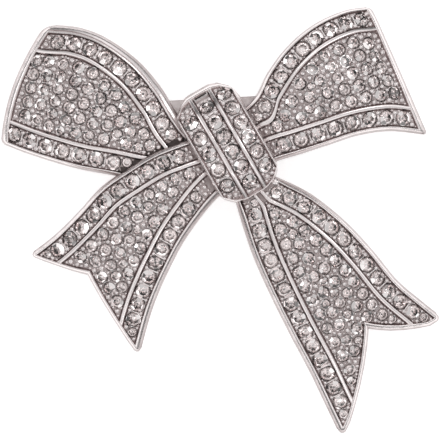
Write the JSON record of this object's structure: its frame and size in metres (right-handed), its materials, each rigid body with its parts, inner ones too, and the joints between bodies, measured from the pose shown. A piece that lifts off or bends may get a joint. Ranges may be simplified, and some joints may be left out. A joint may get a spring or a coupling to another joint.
{
  "type": "bow brooch",
  "caption": "Bow-shaped brooch of cast white metal with two loops, two notched tails and a knot strap, set all over with round clear stones, with a pin on its back.",
  "frame": {"origin": "middle of the bow's outline on the flat surface that it lies on", "axes": "+Z out of the front of the bow, +X to the right and +Y up as the front is seen"},
  "size_m": [0.0548, 0.0534, 0.01],
  "materials": {
    "white_metal": "polished rhodium-plated casting",
    "clear_stone": "cut clear glass over a mirror foil",
    "pin_metal": "plated steel, satin"
  },
  "bodies": {
    "root": {"bow_casting": "white_metal", "left_loop_stones": "clear_stone", "right_loop_stones": "clear_stone", "left_tail_stones": "clear_stone", "right_tail_stones": "clear_stone", "knot_stones": "clear_stone", "pin_back": "pin_metal"}
  },
  "joints": []
}
